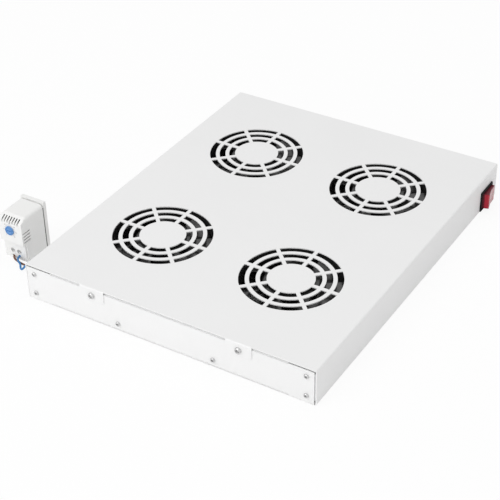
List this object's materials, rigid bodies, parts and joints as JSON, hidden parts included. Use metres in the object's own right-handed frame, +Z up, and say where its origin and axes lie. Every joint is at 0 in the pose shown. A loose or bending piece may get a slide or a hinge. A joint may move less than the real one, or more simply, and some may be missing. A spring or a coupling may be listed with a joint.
{
  "type": "rack fan tray",
  "caption": "Flat folded-steel fan tray with axial fans under punched ring grilles, lit rocker switch, mains inlet and a dial thermostat on two leads.",
  "frame": {"origin": "centre of the rectangle of roof-fixing threads, in the plane of the feet that the tray stands on", "axes": "+X to the right seen from the front panel, +Y from the front panel to the rear panel, +Z up out of the grilles"},
  "size_m": [0.4477, 0.4557, 0.06],
  "materials": {
    "powder_coat": "fine satin light grey powder coat",
    "zinc_plate": "zinc-plated steel",
    "bright_screw": "bright nickel-plated steel",
    "switch_black": "black moulded polyamide",
    "rocker_red": "red translucent polycarbonate",
    "tin_brass": "tin-plated brass",
    "inlet_black": "black moulded thermoplastic",
    "block_plastic": "natural polyamide",
    "thermostat_grey": "light grey flame-retardant plastic, fine spark texture",
    "clip_plastic": "dark grey acetal",
    "dial_blue": "blue moulded plastic",
    "brown_insulation": "brown PVC insulation",
    "blue_insulation": "blue PVC insulation",
    "grommet_rubber": "black rubber",
    "fan_black": "black-coated die-cast aluminium",
    "impeller_black": "black glossy plastic",
    "sintered_bronze": "sintered bronze",
    "core_steel": "laminated electrical steel",
    "winding_copper": "enamelled copper winding"
  },
  "bodies": {
    "tray": {"top_cover": "powder_coat", "front_panel": "powder_coat", "rear_panel": "powder_coat", "bottom_plate": "powder_coat", "corner_brackets": "zinc_plate", "panel_screws": "bright_screw", "tab_screws": "bright_screw", "press_nuts": "zinc_plate", "roof_nuts": "zinc_plate", "fan_screws": "bright_screw", "switch_housing": "switch_black", "switch_terminals": "tin_brass", "inlet_body": "inlet_black", "inlet_pins": "tin_brass", "inlet_screws": "bright_screw", "terminal_block": "block_plastic", "terminal_block_screws": "bright_screw", "earth_stud": "tin_brass", "thermostat_case": "thermostat_grey", "thermostat_back": "thermostat_grey", "thermostat_clip": "clip_plastic", "thermostat_screws": "bright_screw", "lead_brown": "brown_insulation", "lead_blue": "blue_insulation", "lead_grommet": "grommet_rubber", "fan_1_frame": "fan_black", "fan_1_bearings": "sintered_bronze", "fan_1_stator": "core_steel", "fan_1_coils": "winding_copper", "fan_2_frame": "fan_black", "fan_2_bearings": "sintered_bronze", "fan_2_stator": "core_steel", "fan_2_coils": "winding_copper", "fan_3_frame": "fan_black", "fan_3_bearings": "sintered_bronze", "fan_3_stator": "core_steel", "fan_3_coils": "winding_copper", "fan_4_frame": "fan_black", "fan_4_bearings": "sintered_bronze", "fan_4_stator": "core_steel", "fan_4_coils": "winding_copper"},
    "fan_1_wheel": {"fan_1_rotor": "core_steel", "fan_1_impeller": "impeller_black"},
    "fan_2_wheel": {"fan_2_rotor": "core_steel", "fan_2_impeller": "impeller_black"},
    "fan_3_wheel": {"fan_3_rotor": "core_steel", "fan_3_impeller": "impeller_black"},
    "fan_4_wheel": {"fan_4_rotor": "core_steel", "fan_4_impeller": "impeller_black"},
    "rocker": {"switch_rocker": "rocker_red"},
    "dial": {"thermostat_dial": "dial_blue"}
  },
  "joints": [
    {"name": "fan_1_spin", "type": "hinge", "parent": "tray", "child": "fan_1_wheel", "pos_m": [-0.083, -0.102, 0.0249], "axis": [0, 0, 1], "continuous": true},
    {"name": "fan_2_spin", "type": "hinge", "parent": "tray", "child": "fan_2_wheel", "pos_m": [0.083, -0.102, 0.0249], "axis": [0, 0, 1], "continuous": true},
    {"name": "fan_3_spin", "type": "hinge", "parent": "tray", "child": "fan_3_wheel", "pos_m": [-0.083, 0.102, 0.0249], "axis": [0, 0, 1], "continuous": true},
    {"name": "fan_4_spin", "type": "hinge", "parent": "tray", "child": "fan_4_wheel", "pos_m": [0.083, 0.102, 0.0249], "axis": [0, 0, 1], "continuous": true},
    {"name": "switch_rock", "type": "hinge", "parent": "tray", "child": "rocker", "pos_m": [0.1754, 0.1935, 0.015], "axis": [0, 0, 1], "range_deg": [-17, 0]},
    {"name": "dial_turn", "type": "hinge", "parent": "tray", "child": "dial", "pos_m": [-0.2413, -0.1783, 0.041], "axis": [0, -1, 0], "range_deg": [-140, 140]}
  ]
}
